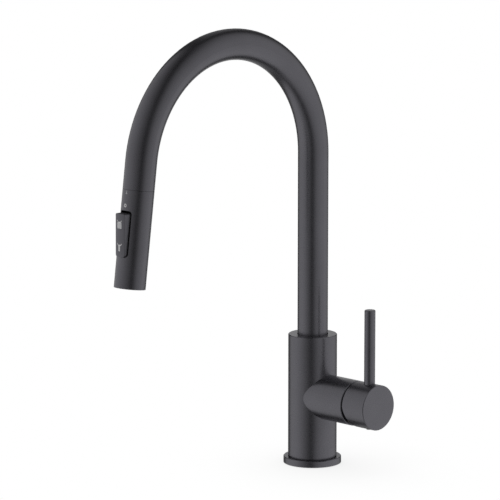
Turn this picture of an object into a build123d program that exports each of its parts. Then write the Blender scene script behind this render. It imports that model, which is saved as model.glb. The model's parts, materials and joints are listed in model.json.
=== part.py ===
from build123d import *
import math
import os

os.makedirs("parts", exist_ok=True)

# Pull-down kitchen faucet with one side lever. Millimetres and degrees. The deck is z = 0 under the
# middle of the base, the spout reaches towards -Y and the lever stands on the +X side.

# clearances
fit_gap = 0.1  # between fixed pieces that slip together
run_gap = 0.06  # on the radius of a turning fit
free_gap = 0.35  # between moving pieces that never touch
over = 2.0  # how far a cut runs past the face it opens

# spout tube
tube_od = 28.0
tube_wall = 1.3
riser_top = 290.2  # where the arch begins
arch_radius = 107.4
arch_angle = 172.5
tail_length = 25.0  # straight tube after the arch

# body and base
body_od = 45.0
edge_break = 0.5
flange_od = 53.5
flange_height = 6.0
seam_height = 0.7  # shadow gap under the body
seam_depth = 0.9
foot_od = 40.6
foot_lift = 0.8  # foot above the deck
gasket_od = 50.4
gasket_thick = 1.4
shank_od = 31.4  # thread for the mounting shank
shank_depth = 12.2
port_od = 6.8  # thread for each supply tail
port_depth = 10.0
port_circle = 22.5
port_angle = 60.0
drill_od = 5.0

# swivel between the body and the spout
swivel_web = 3.0  # metal between the valve and the swivel's bore
bore_depth = 36.5
washer_thick = 0.8
tube_sink = 11.0  # tube end below the body's top
spigot_length = 14.0
ring_width = 2.5
ring_depth = 1.4
ring_split = 2.0
low_ring_at = 2.4  # this and the next two are heights above the spout stem's foot
stop_at = 7.4
swivel_seal_at = 12.6
high_ring_drop = 4.1  # below the tube's end
stop_groove_width = 4.0
stop_groove_depth = 2.0
stop_screw_od = 5.0
stop_screw_sink = 1.2
key_width = 2.5  # hexagon key of both grub screws
seal_section = 2.3

# side branch and valve cartridge, along +X at the height of the branch
branch_height = 64.0
branch_wall = 1.9  # round the cartridge nut
branch_reach = 56.3
cartridge_od = 35.0
housing_wall = 1.65
seat_reach = 11.5
base_thick = 5.0
disc_thick = 4.0
fixed_disc_play = 1.35  # inside the housing
moving_disc_od = 20.8
mix_pocket_od = 10.4
mix_pocket_drop = 3.2
mix_pocket_depth = 2.0
slider_thick = 4.5
driver_collar_thick = 3.4
driver_od = 24.0
housing_neck_wall = 1.14  # round the driver
neck_past = 3.5  # housing's neck beyond the tilt axis
shoulder_sink = 14.3  # nut seat inside the end of the branch
nut_thick = 8.0
nut_step = 1.3  # nut's thread beyond the cartridge
nut_slot = 4.0
nut_slot_depth = 3.0
inlet_lift = 6.0  # inlets above the valve axis, at the seat
disc_port_od = 3.6
disc_port_side = 5.5
disc_port_lift = 3.5
disc_outlet_od = 4.8
disc_outlet_drop = 5.5
port_seal_section = 1.8
cover_inset = 0.6  # dome inside the nut's thread
cover_thick = 1.4
cover_mouth = 20.8

# lever handle
tilt_sink = 9.3  # tilt axis inside the end of the branch
flow_range = 15.0
stem_width = 8.0
stem_length = 31.0  # outward from the tilt axis
arm_od = 5.0
ball_od = 6.0
tilt_pin_od = 3.0
tilt_pin_sink = 1.0  # each end inside the driver
cap_gap = 1.7
cap_length = 26.0
cap_wall = 2.4
cap_bore_depth = 9.0
lever_od = 10.0
lever_setback = 11.4  # from the cap's end face
lever_height = 89.0  # above the valve axis
lever_seat = 15.0
stud_od = 6.0
stud_length = 6.5
set_screw_od = 5.0
set_screw_length = 8.0
set_screw_tip_od = 3.8
set_screw_tip_length = 1.0
plug_od = 5.4
plug_proud = 0.7
plug_length = 5.0

# hose
hose_od = 11.6
hose_bore = 7.0
hose_rise = 1.0  # hose's lower end above the shank's seat
passage_gap = 0.6  # round the hose in the body
ferrule_wall = 1.2
ferrule_length = 15.0
ferrule_end = 5.0  # above the seam
crimp_count = 3
crimp_width = 1.6
crimp_depth = 0.36
collar_gap = 0.3  # inside the head's neck
collar_thick = 3.0
nose_length = 9.0
nose_wall = 2.8  # of the nose, round the water
water_od = 5.2
connector_seal_in = 1.6  # from the nose's end

# dock in the end of the tube
dock_gap = 0.3  # round the head's neck
guide_thick = 3.0

# spray head, with its length, seam and neck floor measured down from the seam
head_length = 86.5
shell_wall = 1.8
seam_line = 0.2
neck_room = 2.0  # between the neck's end and the dock's guide
neck_tube_wall = 1.1
neck_floor = 5.0
swivel_nut_length = 12.0
swivel_nut_wall = 1.35
waterway_od = 6.0
waterway_back = 4.0
core_seal_in = 3.8  # from the core's end
plate_thick = 6.0
mat_thick = 5.0
face_thick = 4.5
face_recess = 3.0  # this and the next two recesses are inside the shell's end
nozzle_count = 12
nozzle_inset = 2.8  # ring of nozzles inside the outlet's edge
nozzle_root = 2.8
nozzle_tip = 2.0
nozzle_bore = 1.0
nozzle_recess = 1.0
aerator_gap = 1.7  # between the aerator and the nozzles' roots
aerator_sink = 3.0
aerator_recess = 1.5
screen_rows = 5
screen_hole = 1.1
screen_pitch = 2.2

# rocker button on the front of the head
rocker_width = 11.4
rocker_length = 38.0
rocker_top_corner = 1.6
rocker_foot_corner = 2.1
pocket_wall = 2.35  # of the core, between the rocker's pocket and the O-ring's groove
rocker_lift = 4.15  # crown above the head's surface when level
rocker_tilt = 7.1
rocker_thick = 7.8
rocker_edge = 0.3
pivot_depth = 6.6
window_side = 1.25
window_end = 1.4
rocker_pin_od = 2.0
rocker_pin_length = 16.4
hub_od = 4.4
plunger_at = 13.0  # below the rocker's pivot
plunger_od = 3.4
plunger_length = 13.5

# worked out from the sizes above
tube_r = tube_od / 2
tube_ri = tube_r - tube_wall
body_r = body_od / 2
foot_r = foot_od / 2
body_foot = flange_height + seam_height
shank_top = foot_lift + shank_depth
port_r = port_circle / 2
inlet_x = port_r * math.cos(math.radians(port_angle))
inlet_y = port_r * math.sin(math.radians(port_angle))

# across the valve, from the cartridge in and then out to the branch and its cap
cavity_r = cartridge_od / 2 + fit_gap
housing_bore = cartridge_od - 2 * housing_wall
fixed_disc_od = housing_bore - 2 * fixed_disc_play
driver_collar_od = housing_bore - 2 * free_gap
neck_od = driver_od + 2 * (run_gap + housing_neck_wall)
tilt_pin_length = driver_od - 2 * tilt_pin_sink
nut_od = cartridge_od + 2 * nut_step
nut_r = nut_od / 2
cover_radius = nut_r - cover_inset
branch_od = nut_od + 2 * (fit_gap + branch_wall)
branch_r = branch_od / 2
cap_bore_od = branch_od - 2 * cap_wall

# along the branch
tilt_reach = branch_reach - tilt_sink
neck_reach = tilt_reach + neck_past
shoulder_reach = branch_reach - shoulder_sink
disc_face = seat_reach + base_thick
moving_face = disc_face + disc_thick
slider_face = moving_face + disc_thick
driver_face = slider_face + slider_thick + free_gap
driver_step = driver_face + driver_collar_thick
stem_arm = tilt_reach - slider_face - ball_od / 2 - free_gap  # inward from the tilt axis to the ball
cap_face = branch_reach + cap_gap
cap_end = cap_face + cap_length
lever_x = cap_end - lever_setback

# up the swivel
bore_floor = branch_height + cartridge_od / 2 + swivel_web
body_top = bore_floor + bore_depth
stem_foot = bore_floor + washer_thick
tube_foot = body_top - tube_sink
high_ring_at = tube_foot - stem_foot - high_ring_drop
stop_z = stem_foot + stop_at
bore_r = tube_r + free_gap
ring_r = bore_r - run_gap
groove_r = tube_r - stop_groove_depth

# the hose's end, from the hose out to the dock
hose_r = hose_od / 2
hose_low = shank_top + hose_rise
passage_od = hose_od + 2 * passage_gap
ferrule_od = hose_od + 2 * ferrule_wall
swivel_nut_bore = ferrule_od + 2 * free_gap
neck_tube_bore = swivel_nut_bore + 2 * (swivel_nut_wall + fit_gap)
neck_tube_od = neck_tube_bore + 2 * neck_tube_wall
collar_od = neck_tube_bore - 2 * collar_gap
dock_bore = neck_tube_od + 2 * dock_gap
nose_od = water_od + 2 * nose_wall
ferrule_top = ferrule_end + ferrule_length
dock_length = ferrule_top + guide_thick
neck_length = ferrule_top - neck_room
connector_seal_at = nose_length - connector_seal_in

# the head, and its outlet back from the shell's end
head_r = tube_r
shell_ri = head_r - shell_wall
core_r = shell_ri - fit_gap
nozzle_circle = 2 * (core_r - nozzle_inset)
aerator_od = nozzle_circle - nozzle_root - 2 * aerator_gap
pivot_y = head_r - pivot_depth
pocket_floor = pivot_y - hub_od / 2 - free_gap
face_y = head_r + rocker_lift - pivot_y
under_y = face_y - rocker_thick
face_top = head_length - face_recess - face_thick
mat_top = face_top - mat_thick
core_end = mat_top - plate_thick
core_seal_at = core_end - core_seal_in
pocket_length = rocker_length + 4 * window_end
rocker_at = core_seal_at - seal_section / 2 - fit_gap - pocket_wall - pocket_length / 2
nozzle_end = head_length - nozzle_recess
aerator_end = head_length - aerator_recess

# the plunger's foot, so that its head just clears the leaning rocker
lean = math.radians(rocker_tilt)
plunger_top = pivot_y + under_y * math.cos(lean) - plunger_at * math.sin(lean) - free_gap
plunger_foot = plunger_top - plunger_length

on_base = (Align.CENTER, Align.CENTER, Align.MIN)


def arch_point(angle):
    # a point on the tube's middle line, by how far the arch has turned
    turn = math.radians(angle)
    y = -arch_radius + arch_radius * math.cos(turn)
    return Vector(0, y, riser_top + arch_radius * math.sin(turn))


turn_end = math.radians(arch_angle)
head_down = Vector(0, -math.sin(turn_end), math.cos(turn_end))
arch_end = arch_point(arch_angle)
seam = arch_end + head_down * tail_length

# local frames: the valve's z runs out along +X, the head's z runs down its axis with y to the front
valve = Plane(origin=(0, 0, branch_height), x_dir=(0, 1, 0), z_dir=(1, 0, 0)).location
head = Plane(origin=seam, x_dir=(1, 0, 0), z_dir=head_down).location
rocker_seat = head * Location((0, pivot_y, rocker_at))


def rod(radius, low, high):
    return Pos(0, 0, low) * Cylinder(radius, high - low, align=on_base)


def ring(outer, inner, low, high):
    return rod(outer, low, high) - rod(inner, low - over, high + over)


def broken_rod(radius, low, high, edge):
    # a rod with its far edge chamfered
    return chamfer(rod(radius, low, high).edges().sort_by(Axis.Z)[-1], edge)


def drilled(start, end, radius):
    # a round drilling from one point to another
    run = Vector(end) - Vector(start)
    return Plane(origin=start, z_dir=run).location * rod(radius, 0, run.length)


def o_ring(inner, section, height):
    return Pos(0, 0, height) * Torus(inner + section / 2, section / 2)


def seal_span(middle):
    # the groove for an O-ring, from end to end
    half = seal_section / 2 + fit_gap
    return middle - half, middle + half


def tube_path(low, tail):
    rise = Line((0, 0, low), (0, 0, riser_top))
    arch = ThreePointArc((0, 0, riser_top), arch_point(arch_angle / 2), arch_end)
    if tail <= 0:
        return Wire([rise, arch])
    return Wire([rise, arch, Line(arch_end, arch_end + head_down * tail)])


def swept_tube(outer, inner, low, tail):
    section = Pos(0, 0, low) * (Circle(outer) - Circle(inner))
    return sweep(section, path=tube_path(low, tail))


def grub_screw(radius, length, tip, tip_length):
    # hexagon key hole at z = 0, dog point at the far end
    body = rod(radius, 0, length - tip_length) + rod(tip, 0, length)
    return body - extrude(RegularPolygon(key_width / math.sqrt(3), 6), key_width)


# base and body


def base_flange():
    plate = broken_rod(flange_od / 2, 0, flange_height, edge_break)
    step = rod(body_r - seam_depth, 0, body_foot)
    hole = rod(foot_r + fit_gap, -over, body_foot + over)
    groove = rod(gasket_od / 2 + fit_gap, -over, gasket_thick)
    return plate + step - hole - groove


def base_gasket():
    return ring(gasket_od / 2, foot_r + fit_gap, 0, gasket_thick)


def supply_ports():
    ports = []
    for angle in (-port_angle, 0, port_angle):
        x = port_r * math.cos(math.radians(angle))
        y = port_r * math.sin(math.radians(angle))
        ports.append(Pos(x, y, 0) * rod(port_od / 2, shank_top - over, shank_top + port_depth))
    return ports


def waterways():
    # hot and cold climb to the seat, mixed water falls from the gallery to the middle port
    inlet_z = branch_height + inlet_lift
    gallery_x = seat_reach + base_thick / 2
    gallery_z = branch_height - cavity_r
    low = shank_top + port_depth - over
    ways = [drilled((port_r, 0, low), (gallery_x, 0, gallery_z), drill_od / 2)]
    for side in (-inlet_y, inlet_y):
        ways.append(drilled((inlet_x, side, low), (inlet_x, side, inlet_z + drill_od / 2), drill_od / 2))
        ways.append(drilled((inlet_x, side, inlet_z), (seat_reach + over, side, inlet_z), drill_od / 2))
    return ways


def valve_cavity():
    gallery = rod(cavity_r + drill_od / 4, seat_reach + base_thick / 4, disc_face)
    barrel = rod(cavity_r, seat_reach, branch_reach + over)
    thread = rod(nut_r + fit_gap, shoulder_reach - over, branch_reach + over)
    return valve * (barrel + gallery + thread)


def faucet_body():
    post = broken_rod(body_r, body_foot, body_top, edge_break) + rod(foot_r, foot_lift, body_foot)
    body = post + valve * broken_rod(branch_r, 0, branch_reach, edge_break)
    cuts = [rod(bore_r, bore_floor, body_top + over)]
    cuts.append(rod(passage_od / 2, 0, body_top))
    cuts.append(rod(shank_od / 2, foot_lift - over, shank_top))
    cuts.append(valve_cavity())
    cuts.append(drilled((0, 0, stop_z), (0, body_r + over, stop_z), stop_screw_od / 2 + fit_gap))
    return body - cuts - supply_ports() - waterways()


def thrust_washer():
    return ring(bore_r - fit_gap, hose_r + free_gap, bore_floor, stem_foot)


def stop_screw():
    far = body_r - stop_screw_sink
    length = far - groove_r - free_gap
    screw = grub_screw(stop_screw_od / 2, length, stop_groove_width / 2 - free_gap, tube_r - groove_r)
    return Plane(origin=(0, far, stop_z), z_dir=(0, -1, 0)).location * screw


# valve cartridge


def seat_ports(radius, low, high):
    return [Pos(side, inlet_lift, 0) * rod(radius, low, high) for side in (-inlet_y, inlet_y)]


def cartridge_base():
    # inlets shift inwards to the disc, the outlet runs down to the rim
    plate = rod(cartridge_od / 2, seat_reach, disc_face)
    mid = (seat_reach + disc_face) / 2
    cuts = seat_ports(drill_od / 2, seat_reach - over, mid + over / 2)
    cuts += seat_ports(drill_od / 2 + port_seal_section, seat_reach - over, seat_reach + port_seal_section)
    for side in (-1, 1):
        near = Vector(side * disc_port_side, disc_port_lift)
        run = Vector(side * inlet_y, inlet_lift) - near
        slot = SlotCenterToCenter(run.length, disc_port_od, rotation=math.degrees(math.atan2(run.Y, run.X)))
        cuts.append(Pos((near + run / 2).X, (near + run / 2).Y, mid) * extrude(slot, base_thick))
    outlet = Box(disc_outlet_od, cartridge_od, base_thick, align=(Align.CENTER, Align.MAX, Align.MIN))
    cuts.append(Pos(0, -disc_outlet_drop + disc_outlet_od / 2, mid) * outlet)
    return valve * (plate - cuts)


def port_seals():
    outer = drill_od / 2 + port_seal_section - fit_gap
    seal = ring(outer, drill_od / 2 + fit_gap, seat_reach, seat_reach + port_seal_section)
    return Compound([valve * (Pos(side, inlet_lift, 0) * seal).solid() for side in (-inlet_y, inlet_y)])


def fixed_disc():
    disc = rod(fixed_disc_od / 2, disc_face, moving_face)
    low, high = disc_face - over, moving_face + over
    cuts = [Pos(0, -disc_outlet_drop, 0) * rod(disc_outlet_od / 2, low, high)]
    for side in (-disc_port_side, disc_port_side):
        cuts.append(Pos(side, disc_port_lift, 0) * rod(disc_port_od / 2, low, high))
    return valve * (disc - cuts)


def moving_disc():
    disc = rod(moving_disc_od / 2, moving_face, slider_face)
    pocket = rod(mix_pocket_od / 2, moving_face - over, moving_face + mix_pocket_depth)
    return valve * (disc - Pos(0, -mix_pocket_drop, 0) * pocket)


def disc_slider():
    slider = rod(moving_disc_od / 2, slider_face, slider_face + slider_thick)
    return valve * (slider - rod(ball_od / 2 + free_gap, slider_face - over, driver_face + over))


def cartridge_housing():
    wall = rod(cartridge_od / 2, disc_face, shoulder_reach) + rod(neck_od / 2, disc_face, neck_reach)
    bore = rod(driver_collar_od / 2 + free_gap, disc_face - over, driver_step + run_gap)
    return valve * (wall - bore - rod(driver_od / 2 + run_gap, disc_face, neck_reach + over))


def cartridge_nut():
    nut = ring(nut_r, neck_od / 2 + fit_gap, shoulder_reach, shoulder_reach + nut_thick)
    slot = Box(nut_od + over, nut_slot, nut_slot_depth, align=on_base)
    slot = Pos(0, 0, shoulder_reach + nut_thick - nut_slot_depth) * slot
    return valve * (nut - slot - Rot(0, 0, 90) * slot)


def cartridge_cover():
    # a dome about the tilt axis, so that it stays behind the tilting cap
    dome = Pos(0, 0, tilt_reach) * (Sphere(cover_radius) - Sphere(cover_radius - cover_thick))
    keep = rod(branch_r, shoulder_reach + nut_thick, cap_end)
    return valve * ((dome & keep) - rod(cover_mouth / 2, 0, cap_end))


def cartridge_driver():
    body = rod(driver_collar_od / 2, driver_face, driver_step) + rod(driver_od / 2, driver_face, neck_reach)
    swing = math.radians(flow_range)
    rise = stem_arm * math.sin(swing) + ball_od / 2 + free_gap
    drop = neck_past * math.tan(swing) + stem_width / 2 / math.cos(swing) + free_gap
    slot = Box(stem_width + 2 * free_gap, rise + drop, neck_reach, align=(Align.CENTER, Align.MIN, Align.MIN))
    pin = Pos(0, 0, tilt_reach) * Rot(0, 90, 0) * Cylinder(tilt_pin_od / 2, driver_od)
    return valve * (body - Pos(0, -drop, driver_face - over) * slot - pin)


def stem_pin():
    return valve * (Pos(0, 0, tilt_reach) * Rot(0, 90, 0) * Cylinder(tilt_pin_od / 2, tilt_pin_length))


# lever handle


def stem_bar(extra, low, high):
    return Pos(0, 0, low) * Box(stem_width + extra, stem_width + extra, high - low, align=on_base)


def cartridge_stem():
    inner = tilt_reach - tilt_pin_od
    bar = stem_bar(0, inner, tilt_reach + stem_length)
    tip = tilt_reach - stem_arm
    arm = rod(arm_od / 2, tip, inner) + Pos(0, 0, tip) * Sphere(ball_od / 2)
    pin = Pos(0, 0, tilt_reach) * Rot(0, 90, 0) * Cylinder(tilt_pin_od / 2 + run_gap, stem_width + over)
    return valve * (bar + arm - pin)


def cap_relief():
    # the lower half of the rim leans back, so that the cap can tilt
    block = Box(branch_od * 2, branch_od * 2, cap_length, align=(Align.CENTER, Align.MAX, Align.MAX))
    return Pos(0, 0, cap_face) * Rot(-flow_range, 0, 0) * block


def handle_cap():
    cap = broken_rod(branch_r, cap_face, cap_end, edge_break)
    cap -= rod(cap_bore_od / 2, cap_face - over, cap_face + cap_bore_depth)
    cap -= stem_bar(fit_gap, cap_face, tilt_reach + stem_length + fit_gap)
    cap -= cap_relief()
    lever_hole = rod(lever_od / 2 + fit_gap, lever_seat, branch_od) + rod(stud_od / 2 + fit_gap, 0, branch_od)
    lever_hole -= rod(lever_od, 0, lever_seat - stud_length)
    screw_hole = rod(set_screw_od / 2 + fit_gap, -branch_od, 0)
    return valve * cap - Pos(lever_x, 0, branch_height) * (lever_hole + screw_hole)


def lever_rod():
    bar = broken_rod(lever_od / 2, lever_seat, lever_height, edge_break)
    return Pos(lever_x, 0, branch_height) * (bar + rod(stud_od / 2, lever_seat - stud_length, lever_seat))


def handle_set_screw():
    screw = grub_screw(set_screw_od / 2, set_screw_length, set_screw_tip_od / 2, set_screw_tip_length)
    return Pos(lever_x, 0, branch_height - stem_width / 2 - set_screw_length) * screw


def screw_plug():
    low = -branch_r - plug_proud
    plug = broken_rod(set_screw_od / 2, low, low + plug_length, edge_break)
    head_top = -math.sqrt(branch_r**2 - (plug_od / 2) ** 2)
    lip = rod(plug_od / 2, low, head_top) - Rot(0, 90, 0) * Cylinder(branch_r + fit_gap, plug_od * 2)
    return Pos(lever_x, 0, branch_height) * (plug + lip)


# spout


def spout_tube():
    return swept_tube(tube_r, tube_ri, tube_foot, tail_length)


def groove(depth, middle, width):
    return ring(tube_r + over, tube_r - depth, stem_foot + middle - width / 2, stem_foot + middle + width / 2)


def spout_stem():
    stem = rod(tube_r, stem_foot, tube_foot) + rod(tube_ri - fit_gap, stem_foot, tube_foot + spigot_length)
    cuts = [groove(ring_depth + fit_gap, at, ring_width + fit_gap) for at in (low_ring_at, high_ring_at)]
    cuts.append(groove(stop_groove_depth, stop_at, stop_groove_width))
    cuts.append(groove(seal_section - free_gap + fit_gap, swivel_seal_at, seal_section + fit_gap))
    return stem - cuts - rod(hose_r + free_gap, 0, body_top + spigot_length)


def glide_rings():
    rings = []
    for at in (low_ring_at, high_ring_at):
        low = stem_foot + at - ring_width / 2
        band = ring(ring_r, tube_r - ring_depth, low, low + ring_width)
        rings.append((band - Pos(0, tube_r, low) * Box(ring_split, tube_r, 2 * ring_width)).solid())
    return Compound(rings)


def swivel_o_ring():
    return o_ring(ring_r - seal_section, seal_section, stem_foot + swivel_seal_at)


def riser_hose():
    return swept_tube(hose_r, hose_bore / 2, hose_low, 0)


def dock_sleeve():
    sleeve = ring(tube_ri - fit_gap, dock_bore / 2, -dock_length, -seam_line)
    guide = ring(tube_ri - fit_gap, hose_r + free_gap, -dock_length, -dock_length + guide_thick)
    return head * (sleeve + guide)


# hose end


def pull_hose():
    return head * ring(hose_r, hose_bore / 2, -tail_length, -ferrule_end)


def hose_ferrule():
    sleeve = ring(hose_r + ferrule_wall, hose_r + fit_gap, -ferrule_end - ferrule_length, -ferrule_end)
    crimp = ring(hose_r + 2 * ferrule_wall, hose_r + ferrule_wall - crimp_depth, 0, crimp_width)
    for i in range(crimp_count):
        sleeve -= Pos(0, 0, -ferrule_end - ferrule_length * (i + 1) / (crimp_count + 1)) * crimp
    return head * sleeve


def hose_connector():
    body = rod(hose_bore / 2 - fit_gap, -ferrule_end - ferrule_length, -collar_thick)
    body += rod(hose_r + ferrule_wall, -ferrule_end, -collar_thick)
    body += rod(collar_od / 2, -collar_thick, 0) + rod(nose_od / 2, 0, nose_length)
    low, high = seal_span(connector_seal_at)
    body -= ring(nose_od, nose_od / 2 - seal_section + free_gap - 2 * fit_gap, low, high)
    return head * (body - rod(water_od / 2, -tail_length, nose_length + over))


def connector_o_ring():
    return head * o_ring(nose_od / 2 + free_gap - run_gap - seal_section, seal_section, connector_seal_at)


# spray head


def rocker_slab(side, end, depth):
    # the rocker's outline pushed forwards, with rounder corners at its foot, grown for the window
    outline = Rectangle(rocker_width + 2 * side, rocker_length + 2 * end)
    outline = fillet(outline.vertices().group_by(Axis.Y)[-1], rocker_top_corner + side)
    outline = fillet(outline.vertices().group_by(Axis.Y)[0], rocker_foot_corner + side)
    return Rot(-90, 0, 0) * extrude(outline, depth)


def spray_shell():
    shell = ring(head_r, shell_ri, seam_line, head_length)
    return head * (shell - Pos(0, 0, rocker_at) * rocker_slab(window_side, window_end, head_r * 2))


def head_neck():
    neck = rod(neck_tube_od / 2, -neck_length, neck_floor) + rod(core_r, seam_line, neck_floor)
    bore = rod(neck_tube_bore / 2, -neck_length - over, run_gap)
    return head * (neck - bore - rod(nose_od / 2 + free_gap, 0, neck_floor + over))


def swivel_nut():
    low = -collar_thick - free_gap
    nut = ring(neck_tube_bore / 2 - fit_gap, swivel_nut_bore / 2, low - swivel_nut_length, low)
    slot = Pos(0, 0, low - swivel_nut_length) * Box(neck_tube_bore, nut_slot / 2, nut_slot / 2)
    return head * (nut - slot)


def waterway_core():
    core = rod(core_r, neck_floor, core_end)
    pocket = (rocker_width + 2 * window_side, core_r * 2, pocket_length)
    cuts = [Pos(0, pocket_floor, rocker_at) * Box(*pocket, align=(Align.CENTER, Align.MIN, Align.CENTER))]
    cuts.append(rod(nose_od / 2 + free_gap, neck_floor - over, nose_length + free_gap))
    cuts.append(Pos(0, -waterway_back, 0) * rod(waterway_od / 2, nose_length, core_end + over))
    cuts.append(Pos(0, pivot_y, rocker_at) * Rot(0, 90, 0) * Cylinder(rocker_pin_od / 2, rocker_pin_length))
    bore = Plane(origin=(0, 0, rocker_at + plunger_at), z_dir=(0, 1, 0)).location
    cuts.append(bore * rod(plunger_od / 2 + free_gap, plunger_foot - free_gap, core_r))
    low, high = seal_span(core_seal_at)
    cuts.append(ring(core_r + over, shell_ri - run_gap - seal_section - fit_gap, low, high))
    return head * (core - cuts)


def core_o_ring():
    return head * o_ring(shell_ri - run_gap - seal_section, seal_section, core_seal_at)


def rocker_pin():
    return rocker_seat * (Rot(0, 90, 0) * Cylinder(rocker_pin_od / 2, rocker_pin_length))


def rocker_button():
    # a slab carried on a hub round the pin, its face round the head's axis when level
    crown = Pos(0, -pivot_y, 0) * Cylinder(head_r + rocker_lift, rocker_length + over)
    slab = crown & Pos(0, under_y, 0) * rocker_slab(0, 0, rocker_thick + over)
    face = slab.faces().filter_by(GeomType.CYLINDER).sort_by(Axis.Y)[-1]
    slab = fillet(face.edges(), rocker_edge)
    hub = Rot(0, 90, 0) * Cylinder(hub_od / 2, rocker_width)
    web = Box(rocker_width, under_y + over, hub_od, align=(Align.CENTER, Align.MIN, Align.CENTER))
    hole = Rot(0, 90, 0) * Cylinder(rocker_pin_od / 2 + run_gap, rocker_width * 2)
    return rocker_seat * Rot(rocker_tilt, 0, 0) * (slab + hub + web - hole)


def diverter_plunger():
    bore = head * Plane(origin=(0, 0, rocker_at + plunger_at), z_dir=(0, 1, 0)).location
    return bore * broken_rod(plunger_od / 2, plunger_foot, plunger_top, edge_break)


def nozzle_spots():
    return [Rot(0, 0, 360 * i / nozzle_count) * Pos(nozzle_circle / 2, 0, 0) for i in range(nozzle_count)]


def nozzle_plate():
    plate = rod(core_r, core_end, mat_top)
    cuts = [rod(aerator_od / 2 + fit_gap, mat_top - aerator_sink, mat_top + over)]
    cuts.append(rod(waterway_od / 2, core_end - over, mat_top + over))
    cuts += [spot * rod(nozzle_bore / 2, core_end - over, mat_top + over) for spot in nozzle_spots()]
    return head * (plate - cuts)


def nozzle_mat():
    mat = ring(core_r, aerator_od / 2 + fit_gap, mat_top, face_top)
    tip = Pos(0, 0, face_top) * Cone(nozzle_root / 2, nozzle_tip / 2, nozzle_end - face_top, align=on_base)
    jet = rod(nozzle_bore / 2, mat_top - over, nozzle_end + over)
    for spot in nozzle_spots():
        mat = mat + spot * tip - spot * jet
    return head * mat


def face_plate():
    plate = ring(core_r, aerator_od / 2 + fit_gap, face_top, face_top + face_thick)
    hole = rod(nozzle_root / 2 + fit_gap, face_top - over, head_length)
    return head * (plate - [spot * hole for spot in nozzle_spots()])


def aerator():
    body = rod(aerator_od / 2, mat_top - aerator_sink, aerator_end)
    cuts = [rod(waterway_od / 2, mat_top - aerator_sink - over, aerator_end - aerator_sink)]
    hole = rod(screen_hole / 2, aerator_end - aerator_sink / 2, aerator_end + over)
    for spot in HexLocations(screen_pitch / 2, screen_rows, screen_rows):
        if spot.position.length < aerator_od / 2 - screen_pitch / 2:
            cuts.append(Pos(spot.position) * hole)
    return head * (body - cuts)


makers = [
    base_flange, base_gasket, faucet_body, thrust_washer, stop_screw,
    cartridge_base, port_seals, fixed_disc, cartridge_housing, cartridge_nut, cartridge_cover,
    cartridge_driver, stem_pin, moving_disc, disc_slider,
    cartridge_stem, handle_cap, lever_rod, handle_set_screw, screw_plug,
    spout_tube, spout_stem, glide_rings, swivel_o_ring, riser_hose, dock_sleeve,
    pull_hose, hose_ferrule, hose_connector, connector_o_ring,
    spray_shell, head_neck, swivel_nut, waterway_core, core_o_ring, rocker_pin,
    nozzle_plate, nozzle_mat, face_plate, aerator,
    rocker_button, diverter_plunger,
]
for maker in makers:
    export_step(maker(), f"parts/{maker.__name__}.step")
print(f"{len(makers)} pieces, reach {-(seam + head_down * head_length).Y:.1f} mm")
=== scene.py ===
import bpy
import bmesh
import json
import math
from mathutils import Matrix, Vector


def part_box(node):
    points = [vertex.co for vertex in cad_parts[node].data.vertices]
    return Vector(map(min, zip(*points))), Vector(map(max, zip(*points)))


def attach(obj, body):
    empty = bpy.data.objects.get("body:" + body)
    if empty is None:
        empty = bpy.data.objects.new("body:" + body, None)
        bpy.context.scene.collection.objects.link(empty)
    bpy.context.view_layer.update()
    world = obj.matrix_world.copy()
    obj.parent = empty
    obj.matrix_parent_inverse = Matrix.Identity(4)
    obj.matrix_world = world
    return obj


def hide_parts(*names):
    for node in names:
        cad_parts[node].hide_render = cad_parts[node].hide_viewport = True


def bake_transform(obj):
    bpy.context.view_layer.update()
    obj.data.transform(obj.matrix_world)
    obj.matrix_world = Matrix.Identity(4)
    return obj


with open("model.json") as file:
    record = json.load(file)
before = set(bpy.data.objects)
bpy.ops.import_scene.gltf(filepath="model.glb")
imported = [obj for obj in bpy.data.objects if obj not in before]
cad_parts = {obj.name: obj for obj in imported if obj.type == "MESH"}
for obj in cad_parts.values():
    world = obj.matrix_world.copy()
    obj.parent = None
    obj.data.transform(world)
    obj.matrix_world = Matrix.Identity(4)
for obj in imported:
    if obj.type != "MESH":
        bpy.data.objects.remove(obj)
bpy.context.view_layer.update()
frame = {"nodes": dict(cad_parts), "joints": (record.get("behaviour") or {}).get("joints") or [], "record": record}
mm = 0.001

# the head's own axes: down from the seam, to the front where the rocker is, and across
joints = {joint["name"]: joint for joint in frame["joints"]}
seam = Vector(joints["head_turn"]["pos_m"])
headDown = Vector(joints["head_turn"]["axis"]).normalized()
across = Vector((1, 0, 0))
headFront = headDown.cross(across)
tubeRadius = (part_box("spout_tube")[1][0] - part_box("spout_tube")[0][0]) / 2
print("frame loaded,", len(frame["nodes"]), "CAD pieces")


# materials

noiseBand = (0.3, 0.7)  # where most of a noise lies
noiseDetail = dict(drift=3.0, sheen=4.0, grain=2.0)


def newMaterial(name):
    material = bpy.data.materials.new(name)
    material.use_nodes = True
    tree = material.node_tree
    shader = tree.nodes["Principled BSDF"]
    place = tree.nodes.new("ShaderNodeTexCoord").outputs["Object"]
    return material, tree, shader, place


def addNoise(tree, place, scale, detail, stretch=(1, 1, 1)):
    mapping = tree.nodes.new("ShaderNodeMapping")
    mapping.inputs["Scale"].default_value = stretch
    tree.links.new(place, mapping.inputs["Vector"])
    noise = tree.nodes.new("ShaderNodeTexNoise")
    noise.inputs["Scale"].default_value = scale
    noise.inputs["Detail"].default_value = detail
    tree.links.new(mapping.outputs["Vector"], noise.inputs["Vector"])
    return noise.outputs["Fac"]


def mapTo(tree, value, low, high, target):
    spread = tree.nodes.new("ShaderNodeMapRange")
    spread.inputs["From Min"].default_value = noiseBand[0]
    spread.inputs["From Max"].default_value = noiseBand[1]
    spread.inputs["To Min"].default_value = low
    spread.inputs["To Max"].default_value = high
    tree.links.new(value, spread.inputs["Value"])
    tree.links.new(spread.outputs["Result"], target)


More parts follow.
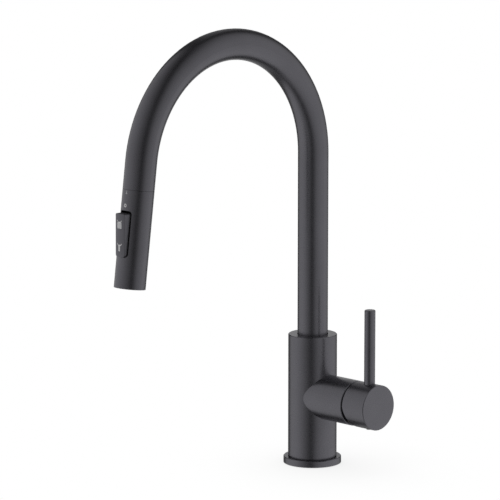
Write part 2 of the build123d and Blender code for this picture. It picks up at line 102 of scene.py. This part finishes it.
def mixColours(tree, value, first, second, target):
    ramp = tree.nodes.new("ShaderNodeValToRGB")
    for element, position, colour in zip(ramp.color_ramp.elements, noiseBand, (first, second)):
        element.position = position
        element.color = (*colour, 1)
    tree.links.new(value, ramp.inputs["Fac"])
    tree.links.new(ramp.outputs["Color"], target)


def addBump(tree, shader, value, strength, depth):
    bump = tree.nodes.new("ShaderNodeBump")
    bump.inputs["Strength"].default_value = strength
    bump.inputs["Distance"].default_value = depth
    tree.links.new(value, bump.inputs["Height"])
    tree.links.new(bump.outputs["Normal"], shader.inputs["Normal"])


def surface(name, look):
    # colour drifts between two tones, roughness follows a finer noise, bump is the finest grain
    material, tree, shader, place = newMaterial(name)
    stretch = look.get("stretch", (1, 1, 1))
    drift = addNoise(tree, place, look["driftScale"], noiseDetail["drift"])
    mixColours(tree, drift, look["dark"], look["light"], shader.inputs["Base Color"])
    sheen = addNoise(tree, place, look["sheenScale"], noiseDetail["sheen"], stretch)
    mapTo(tree, sheen, *look["roughness"], shader.inputs["Roughness"])
    grain = addNoise(tree, place, look["grainScale"], noiseDetail["grain"], stretch)
    addBump(tree, shader, grain, look["bump"], look["depth"])
    shader.inputs["Metallic"].default_value = look.get("metallic", 0.0)
    return material


# satin grey coat over brushing that runs round each tube
gunmetalLook = dict(
    dark=(0.139, 0.136, 0.152), light=(0.149, 0.146, 0.163), driftScale=40,
    sheenScale=260, roughness=(0.26, 0.3), grainScale=2600, bump=0.05, depth=0.00002,
    stretch=(0.6, 0.6, 2.0), metallic=0.85,
)
# the same tone sprayed on plastic
buttonLook = dict(
    dark=(0.139, 0.136, 0.152), light=(0.149, 0.146, 0.163), driftScale=60,
    sheenScale=400, roughness=(0.36, 0.42), grainScale=3200, bump=0.08, depth=0.00002, metallic=0.85,
)
darkPlasticLook = dict(
    dark=(0.018, 0.018, 0.020), light=(0.028, 0.028, 0.030), driftScale=120,
    sheenScale=500, roughness=(0.42, 0.55), grainScale=2200, bump=0.15, depth=0.00003,
)
palePlasticLook = dict(
    dark=(0.54, 0.54, 0.52), light=(0.64, 0.64, 0.62), driftScale=90,
    sheenScale=400, roughness=(0.38, 0.5), grainScale=1800, bump=0.1, depth=0.00003,
)
cartridgeLook = dict(
    dark=(0.36, 0.38, 0.41), light=(0.45, 0.47, 0.50), driftScale=90,
    sheenScale=400, roughness=(0.4, 0.5), grainScale=1800, bump=0.1, depth=0.00003,
)
ceramicLook = dict(
    dark=(0.80, 0.79, 0.75), light=(0.88, 0.87, 0.83), driftScale=300,
    sheenScale=900, roughness=(0.12, 0.2), grainScale=3000, bump=0.03, depth=0.00001,
)
brassLook = dict(
    dark=(0.52, 0.37, 0.15), light=(0.66, 0.49, 0.22), driftScale=60,
    sheenScale=500, roughness=(0.25, 0.4), grainScale=2400, bump=0.12, depth=0.00002,
    stretch=(1, 1, 6), metallic=1.0,
)
steelLook = dict(
    dark=(0.50, 0.50, 0.51), light=(0.60, 0.60, 0.61), driftScale=80,
    sheenScale=600, roughness=(0.22, 0.34), grainScale=2400, bump=0.1, depth=0.00002,
    stretch=(1, 1, 5), metallic=1.0,
)
rubberLook = dict(
    dark=(0.012, 0.012, 0.012), light=(0.024, 0.024, 0.024), driftScale=150,
    sheenScale=500, roughness=(0.6, 0.75), grainScale=1500, bump=0.25, depth=0.00004,
)
siliconeLook = dict(
    dark=(0.12, 0.12, 0.125), light=(0.17, 0.17, 0.178), driftScale=200,
    sheenScale=700, roughness=(0.48, 0.6), grainScale=1600, bump=0.15, depth=0.00003,
)
greyInkLook = dict(
    dark=(0.52, 0.52, 0.54), light=(0.60, 0.60, 0.62), driftScale=900,
    sheenScale=1500, roughness=(0.4, 0.55), grainScale=4000, bump=0.05, depth=0.00001,
)
whiteInkLook = dict(
    dark=(0.90, 0.90, 0.91), light=(0.96, 0.96, 0.97), driftScale=900,
    sheenScale=1500, roughness=(0.4, 0.55), grainScale=4000, bump=0.05, depth=0.00001,
)
braidLook = dict(
    dark=(0.02, 0.02, 0.022), light=(0.09, 0.09, 0.097), threadScale=420, wander=0.6,
    roughness=(0.6, 0.4), bump=0.4, depth=0.0002,
)


def braidSurface(name, look):
    # nylon braid: two sets of slanting threads that cross
    material, tree, shader, place = newMaterial(name)
    threads = []
    for slant in (-1, 1):
        wave = tree.nodes.new("ShaderNodeTexWave")
        wave.inputs["Scale"].default_value = look["threadScale"]
        wave.inputs["Distortion"].default_value = look["wander"]
        wave.bands_direction = "DIAGONAL"
        turn = tree.nodes.new("ShaderNodeMapping")
        turn.inputs["Scale"].default_value = (slant, slant, 1)
        tree.links.new(place, turn.inputs["Vector"])
        tree.links.new(turn.outputs["Vector"], wave.inputs["Vector"])
        threads.append(wave.outputs["Fac"])
    cross = tree.nodes.new("ShaderNodeMath")
    cross.operation = "MAXIMUM"
    tree.links.new(threads[0], cross.inputs[0])
    tree.links.new(threads[1], cross.inputs[1])
    mixColours(tree, cross.outputs[0], look["dark"], look["light"], shader.inputs["Base Color"])
    mapTo(tree, cross.outputs[0], *look["roughness"], shader.inputs["Roughness"])
    addBump(tree, shader, cross.outputs[0], look["bump"], look["depth"])
    return material


materials = {
    "gunmetal": surface("gunmetalCoat", gunmetalLook),
    "button_coat": surface("buttonCoat", buttonLook),
    "dark_plastic": surface("darkPlastic", darkPlasticLook),
    "pale_plastic": surface("palePlastic", palePlasticLook),
    "cartridge_plastic": surface("cartridgePlastic", cartridgeLook),
    "ceramic_disc": surface("ceramicDisc", ceramicLook),
    "brass": surface("turnedBrass", brassLook),
    "bright_steel": surface("brightSteel", steelLook),
    "seal_rubber": surface("sealRubber", rubberLook),
    "silicone": surface("siliconeNozzle", siliconeLook),
    "hose_braid": braidSurface("hoseBraid", braidLook),
}
greyInk = surface("greyInk", greyInkLook)
whiteInk = surface("whiteInk", whiteInkLook)
for subpart in frame["record"]["subparts"]:
    piece = frame["nodes"][subpart["node"]]
    piece.data.materials.clear()
    piece.data.materials.append(materials[subpart["material_slot"]])


# hose at the dock: drawn out when the head is pulled

hose = dict(
    radius=5.8 * mm, rib=0.12 * mm,
    top=-25 * mm, grip=-19.5 * mm, bottom=-5 * mm,  # places along the head's axis from the seam
    rings=220, sides=28,
)


def easeBack(share):
    # the place along the drawn-out length where the pull has reached this share
    return 0.5 - math.sin(math.asin(1 - 2 * share) / 3)


def buildHose():
    run = hose["grip"] - hose["top"]
    places = [hose["top"] + easeBack(i / hose["rings"]) * run for i in range(hose["rings"])]
    places += [hose["grip"], hose["bottom"]]
    bm = bmesh.new()
    loops = []
    for i, place in enumerate(places):
        radius = hose["radius"] - (hose["rib"] if i % 2 else 0)
        middle = seam + headDown * place
        loop = []
        for k in range(hose["sides"]):
            turn = 2 * math.pi * k / hose["sides"]
            outward = across * math.cos(turn) + headFront * math.sin(turn)
            loop.append(bm.verts.new(middle + outward * radius))
        loops.append(loop)
    for low, high in zip(loops, loops[1:]):
        for k in range(hose["sides"]):
            n = (k + 1) % hose["sides"]
            bm.faces.new((low[k], low[n], high[n], high[k])).smooth = True
    bm.faces.new(loops[0])
    bm.faces.new(reversed(loops[-1]))
    mesh = bpy.data.meshes.new("drawnHose")
    bm.normal_update()
    bm.to_mesh(mesh)
    piece = bpy.data.objects.new("drawn_hose", mesh)
    bpy.context.scene.collection.objects.link(piece)
    mesh.materials.append(materials["hose_braid"])
    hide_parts("pull_hose")
    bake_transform(piece)


buildHose()
print("hose ready to draw out")


# printed marks, laid out in millimetres across and down the head

ink = dict(strip=0.4, strips=8, headLift=0.02 * mm)  # strips to each side of the middle


def addPrint(name, outlines, toWorld, body, inkMaterial):
    # flat outlines, cut into narrow strips so that they bend with the surface they are laid on
    bm = bmesh.new()
    for outline in outlines:
        bm.faces.new([bm.verts.new((u, v, 0)) for u, v in outline])
    for step in range(-ink["strips"], ink["strips"] + 1):
        geom = bm.verts[:] + bm.edges[:] + bm.faces[:]
        bmesh.ops.bisect_plane(bm, geom=geom, plane_co=(step * ink["strip"], 0, 0), plane_no=(1, 0, 0))
    for vert in bm.verts:
        vert.co = toWorld(vert.co.x, vert.co.y)
    bmesh.ops.recalc_face_normals(bm, faces=bm.faces)
    mesh = bpy.data.meshes.new(name)
    bm.to_mesh(mesh)
    piece = bpy.data.objects.new(name, mesh)
    bpy.context.scene.collection.objects.link(piece)
    mesh.materials.append(inkMaterial)
    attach(piece, body)


def bar(u, top, bottom, width):
    half = width / 2
    return [(u - half, top), (u + half, top), (u + half, bottom), (u - half, bottom)]


def ringBand(mark):
    # short quads round a ring
    quads = []
    for i in range(mark["steps"]):
        a, b = (2 * math.pi * k / mark["steps"] for k in (i, i + 1))
        ends = [(mark["inner"], a), (mark["outer"], a), (mark["outer"], b), (mark["inner"], b)]
        quads.append([(mark["across"] + r * math.sin(t), mark["at"] + r * math.cos(t)) for r, t in ends])
    return quads


def onHead(u, v):
    turn = u * mm / tubeRadius
    outward = across * math.sin(turn) + headFront * math.cos(turn)
    return seam + headDown * (v * mm) + outward * (tubeRadius + ink["headLift"])


# the rocker leans out at its top, and its face is round the head's axis when it is level
rocker = dict(tilt=math.radians(7.1), pivotOut=7.4 * mm, faceRadius=18.15 * mm, lift=0.03 * mm)
rockerPivot = Vector(joints["rocker_toggle"]["pos_m"])
rockerOut = headFront * math.cos(rocker["tilt"]) + headDown * math.sin(rocker["tilt"])
rockerDown = headDown * math.cos(rocker["tilt"]) - headFront * math.sin(rocker["tilt"])


def onRocker(u, v):
    turn = u * mm / rocker["faceRadius"]
    radius = rocker["faceRadius"] + rocker["lift"]
    foot = rockerPivot + rockerOut * (radius * math.cos(turn) - rocker["pivotOut"])
    return foot + across * (radius * math.sin(turn)) + rockerDown * (v * mm)


# a ring on the head, and an arrow head that points up at the seam
ringMark = dict(across=-0.3, at=14.0, inner=0.75, outer=1.65, steps=28)
arrowMark = dict(top=0.8, bottom=4.0, width=2.0)
arrowHalf = arrowMark["width"] / 2
arrowFoot = [(side * arrowHalf, arrowMark["bottom"]) for side in (-1, 1)]
arrowOutline = arrowFoot + [(0, arrowMark["top"])]
addPrint("head_ring_mark", ringBand(ringMark), onHead, "spray_head", whiteInk)
addPrint("head_arrow_mark", [arrowOutline], onHead, "spray_head", greyInk)


def flare(icon):
    # the mouth of a spray head: two arms that spread upward and a bar between their feet
    top, mouth, stroke = icon["top"], icon["mouth"], icon["stroke"]
    reach = icon["width"] / 2
    foot = reach - icon["spread"]
    marks = [[(-foot, mouth), (foot, mouth), (foot, mouth - stroke), (-foot, mouth - stroke)]]
    for side in (-1, 1):
        arm = ((foot - stroke, mouth), (foot, mouth), (reach, top), (reach - stroke, top))
        marks.append([(side * u, v) for u, v in arm])
    return marks


# five streams above, one jet below
sprayIcon = dict(
    top=-13.2, mouth=-11.2, bottom=-6.0, width=6.0, spread=0.9, stroke=0.8,
    lines=5, pitch=1.05, line=0.9,
)
sprayMark = flare(sprayIcon)
for i in range(sprayIcon["lines"]):
    u = (i - (sprayIcon["lines"] - 1) / 2) * sprayIcon["pitch"]
    sprayMark.append(bar(u, sprayIcon["mouth"], sprayIcon["bottom"], sprayIcon["line"]))
addPrint("spray_icon", sprayMark, onRocker, "rocker", whiteInk)
jetIcon = dict(
    top=7.2, mouth=9.0, bottom=14.0, width=6.0, spread=0.9, stroke=0.8,
    lineAcross=-0.2, line=2.0,
)
jetMark = flare(jetIcon) + [bar(jetIcon["lineAcross"], jetIcon["mouth"], jetIcon["bottom"], jetIcon["line"])]
addPrint("jet_icon", jetMark, onRocker, "rocker", whiteInk)
print("marks printed")


# camera, floor and lights

camera = dict(
    azimuth=44.395, distance=3.1343, height=0.7567, yaw=1.056, pitch=10.089,
    lens=249.6, sensor=36, farthest=20,
)


def addCamera():
    side = math.radians(camera["azimuth"])
    aim = math.radians(camera["azimuth"] + camera["yaw"])
    dip = math.radians(camera["pitch"])
    look = Vector((-math.sin(aim) * math.cos(dip), math.cos(aim) * math.cos(dip), -math.sin(dip)))
    right = Vector((math.cos(aim), math.sin(aim), 0))
    upward = right.cross(look)
    data = bpy.data.cameras.new("camera")
    data.lens = camera["lens"]
    data.sensor_width = camera["sensor"]
    data.clip_end = camera["farthest"]
    item = bpy.data.objects.new("camera", data)
    turn = Matrix((right, upward, -look)).transposed().to_4x4()
    spot = Vector((math.sin(side), -math.cos(side), 0)) * camera["distance"]
    spot.z = camera["height"]
    item.matrix_world = Matrix.Translation(spot) @ turn
    bpy.context.scene.collection.objects.link(item)
    bpy.context.scene.camera = item


def addRamp(tree, value, low, high, stops):
    # a grey ramp through the stops, which are given in the value's own unit
    ramp = tree.nodes.new("ShaderNodeValToRGB")
    spread = tree.nodes.new("ShaderNodeMapRange")
    spread.inputs["From Min"].default_value = low
    spread.inputs["From Max"].default_value = high
    tree.links.new(value, spread.inputs["Value"])
    tree.links.new(spread.outputs["Result"], ramp.inputs["Fac"])
    elements = ramp.color_ramp.elements
    while len(elements) < len(stops):
        elements.new(0.5)
    for element, (at, share) in zip(elements, stops):
        element.position = (at - low) / (high - low)
        element.color = (share, share, share, 1)
    return ramp.outputs["Color"]


def addMath(tree, operation, first, second):
    node = tree.nodes.new("ShaderNodeMath")
    node.operation = operation
    for socket, value in zip(node.inputs, (first, second)):
        if isinstance(value, (int, float)):
            socket.default_value = value
        else:
            tree.links.new(value, socket)
    return node.outputs[0]


def showPlain(tree, plain, other, output):
    # the camera, gloss and glass see the plain shader, every other ray meets the other one
    path = tree.nodes.new("ShaderNodeLightPath")
    rays = addMath(tree, "ADD", path.outputs["Is Camera Ray"], path.outputs["Is Glossy Ray"])
    rays = addMath(tree, "ADD", rays, path.outputs["Is Transmission Ray"])
    mix = tree.nodes.new("ShaderNodeMixShader")
    tree.links.new(rays, mix.inputs["Fac"])
    tree.links.new(other, mix.inputs[1])
    tree.links.new(plain, mix.inputs[2])
    tree.links.new(mix.outputs["Shader"], tree.nodes[output].inputs["Surface"])


floorSheet = dict(
    half=6.0, drop=0.5 * mm, tone=0.9, roughness=0.9,
    shadowReach=0.12, shadow=0.75, clear=0.95,  # paper is plain white above this openness
)


def addFloor():
    # white paper that glows, with a painted soft shadow round the foot of the object where ambient occlusion dims
    # the glow
    half = floorSheet["half"]
    mesh = bpy.data.meshes.new("floor")
    corners = [(-half, -half), (half, -half), (half, half), (-half, half)]
    mesh.from_pydata([(x, y, -floorSheet["drop"]) for x, y in corners], [], [(0, 1, 2, 3)])
    floor = bpy.data.objects.new("floor", mesh)
    bpy.context.scene.collection.objects.link(floor)
    material, tree, shader, place = newMaterial("floorPaper")
    shader.inputs["Base Color"].default_value = (*[floorSheet["tone"]] * 3, 1)
    shader.inputs["Roughness"].default_value = floorSheet["roughness"]
    # painted shadow: the glow is dimmed by ambient occlusion from the object, not by any lamp
    openness = tree.nodes.new("ShaderNodeAmbientOcclusion")
    openness.inputs["Distance"].default_value = floorSheet["shadowReach"]
    glow = tree.nodes.new("ShaderNodeEmission")
    stops = ((0, floorSheet["shadow"]), (floorSheet["clear"], 1))
    shade = addRamp(tree, openness.outputs["AO"], 0, 1, stops)
    tree.links.new(shade, glow.inputs["Strength"])
    showPlain(tree, glow.outputs["Emission"], shader.outputs["BSDF"], "Material Output")
    material.cycles.emission_sampling = "NONE"
    mesh.materials.append(material)
    floor.visible_glossy = False  # the metal shows the cloth under it instead
    floor.visible_shadow = False


# a round tent of soft cloth: bright at both sides, with the slit the camera looks through in front, dark
# flags towards the back and a pale strip between them. Turns are degrees to the right of the camera,
# heights go from -1 to 1.
tent = dict(
    middle=(0, -0.11, 0.2), radius=0.6, subdivisions=5,
    turns=(
        (-180, 0.36), (-171, 0.3), (-160, 0.05), (-148, 0.08), (-137, 0.6), (-125, 0.75), (-92, 0.82),
        (-66, 0.69), (-14, 0.21), (-3, 0.07), (8, 0.12), (36, 0.54), (74, 0.76), (108, 0.84), (127, 0.67),
        (147, 0.1), (160, 0.06), (171, 0.3), (180, 0.36),
    ),
    fade=(
        (-1, 0.52), (-0.85, 0.94), (-0.6, 1), (-0.3, 0.96), (0, 0.92), (0.3, 0.84), (0.6, 0.8),
        (0.8, 0.68), (0.92, 0.49), (1, 0.15),
    ),
)


def along(tree, direction, axis):
    dot = tree.nodes.new("ShaderNodeVectorMath")
    dot.operation = "DOT_PRODUCT"
    dot.inputs[1].default_value = axis
    tree.links.new(direction, dot.inputs[0])
    return dot.outputs["Value"]


def addTent():
    bm = bmesh.new()
    bmesh.ops.create_icosphere(bm, subdivisions=tent["subdivisions"], radius=tent["radius"])
    mesh = bpy.data.meshes.new("tent")
    bm.to_mesh(mesh)
    cover = bpy.data.objects.new("tent", mesh)
    cover.location = tent["middle"]
    bpy.context.scene.collection.objects.link(cover)
    material, tree, shader, place = newMaterial("tentCloth")
    side = math.radians(camera["azimuth"])
    front = along(tree, place, (math.sin(side), -math.cos(side), 0))
    right = along(tree, place, (math.cos(side), math.sin(side), 0))
    turn = addMath(tree, "DEGREES", addMath(tree, "ARCTAN2", right, front), 0)
    height = along(tree, place, (0, 0, 1 / tent["radius"]))
    byTurn = addRamp(tree, turn, -180, 180, tent["turns"])
    byHeight = addRamp(tree, height, -1, 1, tent["fade"])
    cloth = tree.nodes.new("ShaderNodeEmission")
    tree.links.new(addMath(tree, "MULTIPLY", byTurn, byHeight), cloth.inputs["Strength"])
    tree.links.new(cloth.outputs["Emission"], tree.nodes["Material Output"].inputs["Surface"])
    mesh.materials.append(material)
    material.cycles.emission_sampling = "NONE"
    cover.visible_camera = False
    cover.visible_shadow = False


def addBackdrop():
    # white paper behind everything, which throws no light on the object
    world = bpy.data.worlds.new("backdrop")
    bpy.context.scene.world = world
    world.use_nodes = True
    tree = world.node_tree
    paper = tree.nodes["Background"]
    paper.inputs["Color"].default_value = (1, 1, 1, 1)
    dark = tree.nodes.new("ShaderNodeBackground")
    dark.inputs["Strength"].default_value = 0
    showPlain(tree, paper.outputs["Background"], dark.outputs["Background"], "World Output")


# turn is degrees to the right of the camera, glow is the brightness per area
backPanel = dict(turn=168, distance=0.55, height=0.2, width=0.3, tall=0.28, glow=0.3, aim=(0, -0.15, 0.3))


def addPanel():
    data = bpy.data.lights.new("backPanel", "AREA")
    data.shape = "RECTANGLE"
    data.size = backPanel["width"]
    data.size_y = backPanel["tall"]
    data.energy = backPanel["glow"] * math.pi * backPanel["width"] * backPanel["tall"]
    item = bpy.data.objects.new("backPanel", data)
    side = math.radians(camera["azimuth"] + backPanel["turn"])
    aim = Vector(backPanel["aim"])
    spot = aim + Vector((math.sin(side), -math.cos(side), 0)) * backPanel["distance"]
    spot.z = backPanel["height"]
    turned = (spot - aim).to_track_quat("Z", "Y").to_matrix().to_4x4()
    item.matrix_world = Matrix.Translation(spot) @ turned
    item.visible_camera = False
    bpy.context.scene.collection.objects.link(item)


addCamera()
addFloor()
addTent()
addBackdrop()
addPanel()
bpy.context.scene.view_settings.view_transform = "Standard"
print("studio set")
